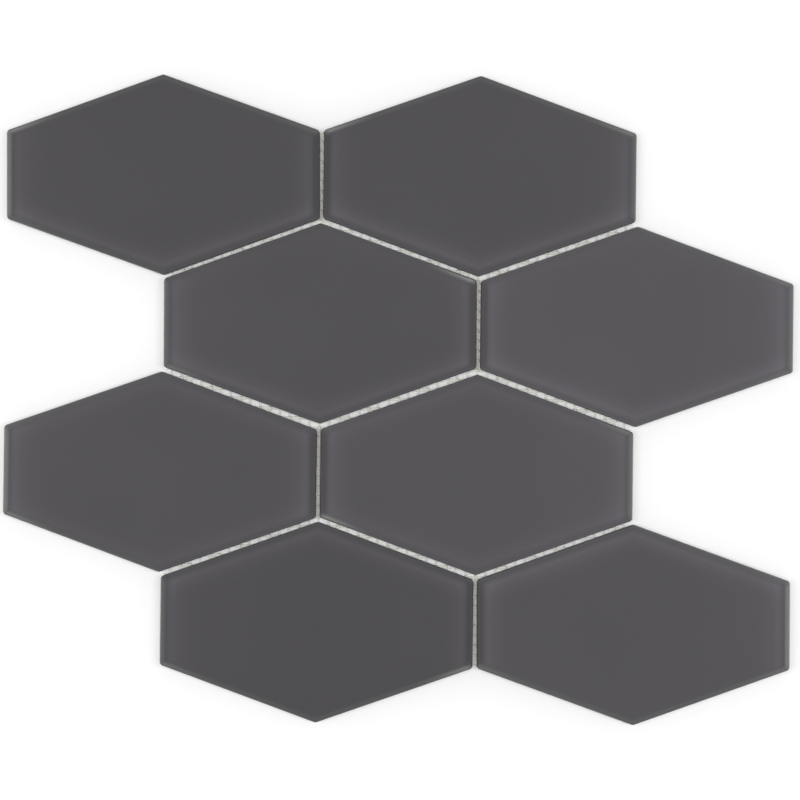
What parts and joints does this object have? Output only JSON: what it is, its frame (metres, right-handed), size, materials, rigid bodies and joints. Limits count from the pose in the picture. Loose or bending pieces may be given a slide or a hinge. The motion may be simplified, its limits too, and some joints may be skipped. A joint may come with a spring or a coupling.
{
  "type": "picket tile mosaic sheet",
  "caption": "Sheet of long hexagonal picket tiles in matte charcoal glass, held in staggered rows at their joint width by a white fibreglass mesh glued to their backs",
  "frame": {"origin": "middle of the sheet's underside, where the mesh lies on the floor or on the adhesive bed", "axes": "+Z out of the tiles' faces, +X along the rows, +Y across them to the back row, which starts half a tile further to -X than the next"},
  "size_m": [0.2991, 0.2457, 0.0085],
  "materials": {
    "charcoal_glass": "satin-etched face, back painted charcoal so that nothing shows through",
    "white_mesh": "open woven glass-fibre net with a matte white resin coat"
  },
  "bodies": {
    "root": {"glass_tile_row_1_left": "charcoal_glass", "glass_tile_row_1_right": "charcoal_glass", "glass_tile_row_2_left": "charcoal_glass", "glass_tile_row_2_right": "charcoal_glass", "glass_tile_row_3_left": "charcoal_glass", "glass_tile_row_3_right": "charcoal_glass", "glass_tile_row_4_left": "charcoal_glass", "glass_tile_row_4_right": "charcoal_glass", "mesh_warp_yarns": "white_mesh", "mesh_weft_yarns": "white_mesh"}
  },
  "joints": []
}
